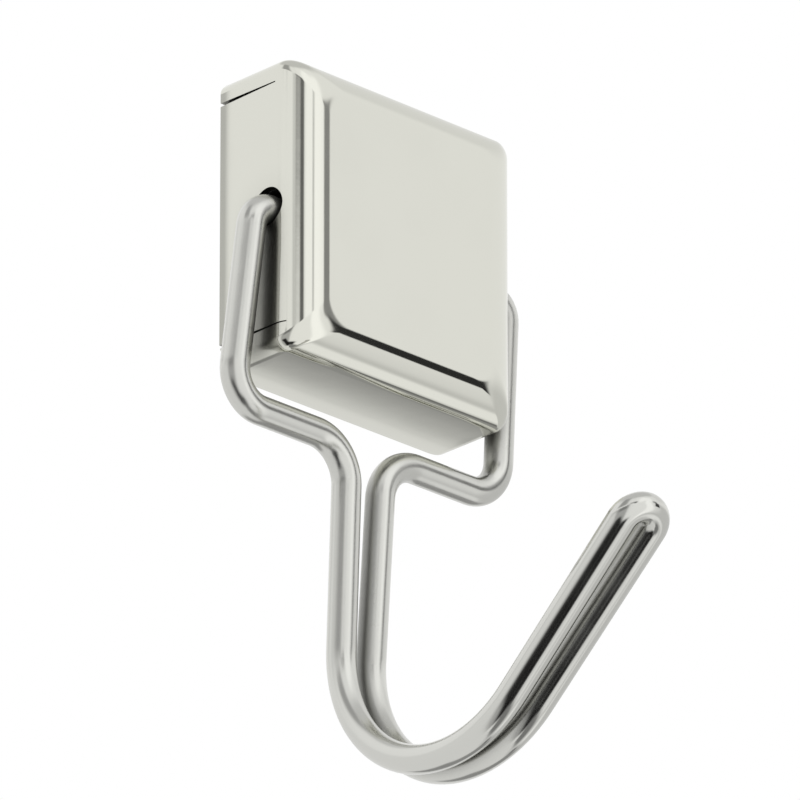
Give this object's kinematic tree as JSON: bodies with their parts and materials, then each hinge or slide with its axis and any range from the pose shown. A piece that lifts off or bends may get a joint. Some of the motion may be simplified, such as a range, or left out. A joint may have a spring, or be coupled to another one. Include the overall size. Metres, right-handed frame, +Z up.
{
  "type": "magnetic hook",
  "caption": "Magnetic wall hook: a bright steel cover over a magnet stack, with a bent wire hung from its sides that swings forward and ends in an open hook.",
  "frame": {"origin": "centre of the magnet stack's rear face, which lies on the wall", "axes": "+X across the width, +Y into the wall, +Z up"},
  "size_m": [0.0496, 0.0581, 0.0951],
  "materials": {
    "cover": "bright plated pressed steel",
    "holder": "black moulded plastic",
    "pole_plate": "plain steel strip with ground edges",
    "magnet": "dark grey sintered ferrite",
    "grip_pad": "thin black rubber sheet",
    "wire": "bright plated round steel wire"
  },
  "bodies": {
    "magnet_body": {"cover": "cover", "holder": "holder", "pole_plate_upper": "pole_plate", "pole_plate_middle": "pole_plate", "pole_plate_lower": "pole_plate", "magnet_upper": "magnet", "magnet_lower": "magnet", "grip_pad": "grip_pad"},
    "hook": {"wire_hook": "wire"}
  },
  "joints": [
    {"name": "hook_swing", "type": "hinge", "parent": "magnet_body", "child": "hook", "pos_m": [0, -0.00895, -0.0004], "axis": [-1, 0, 0], "range_deg": [-2.5, 140]}
  ]
}
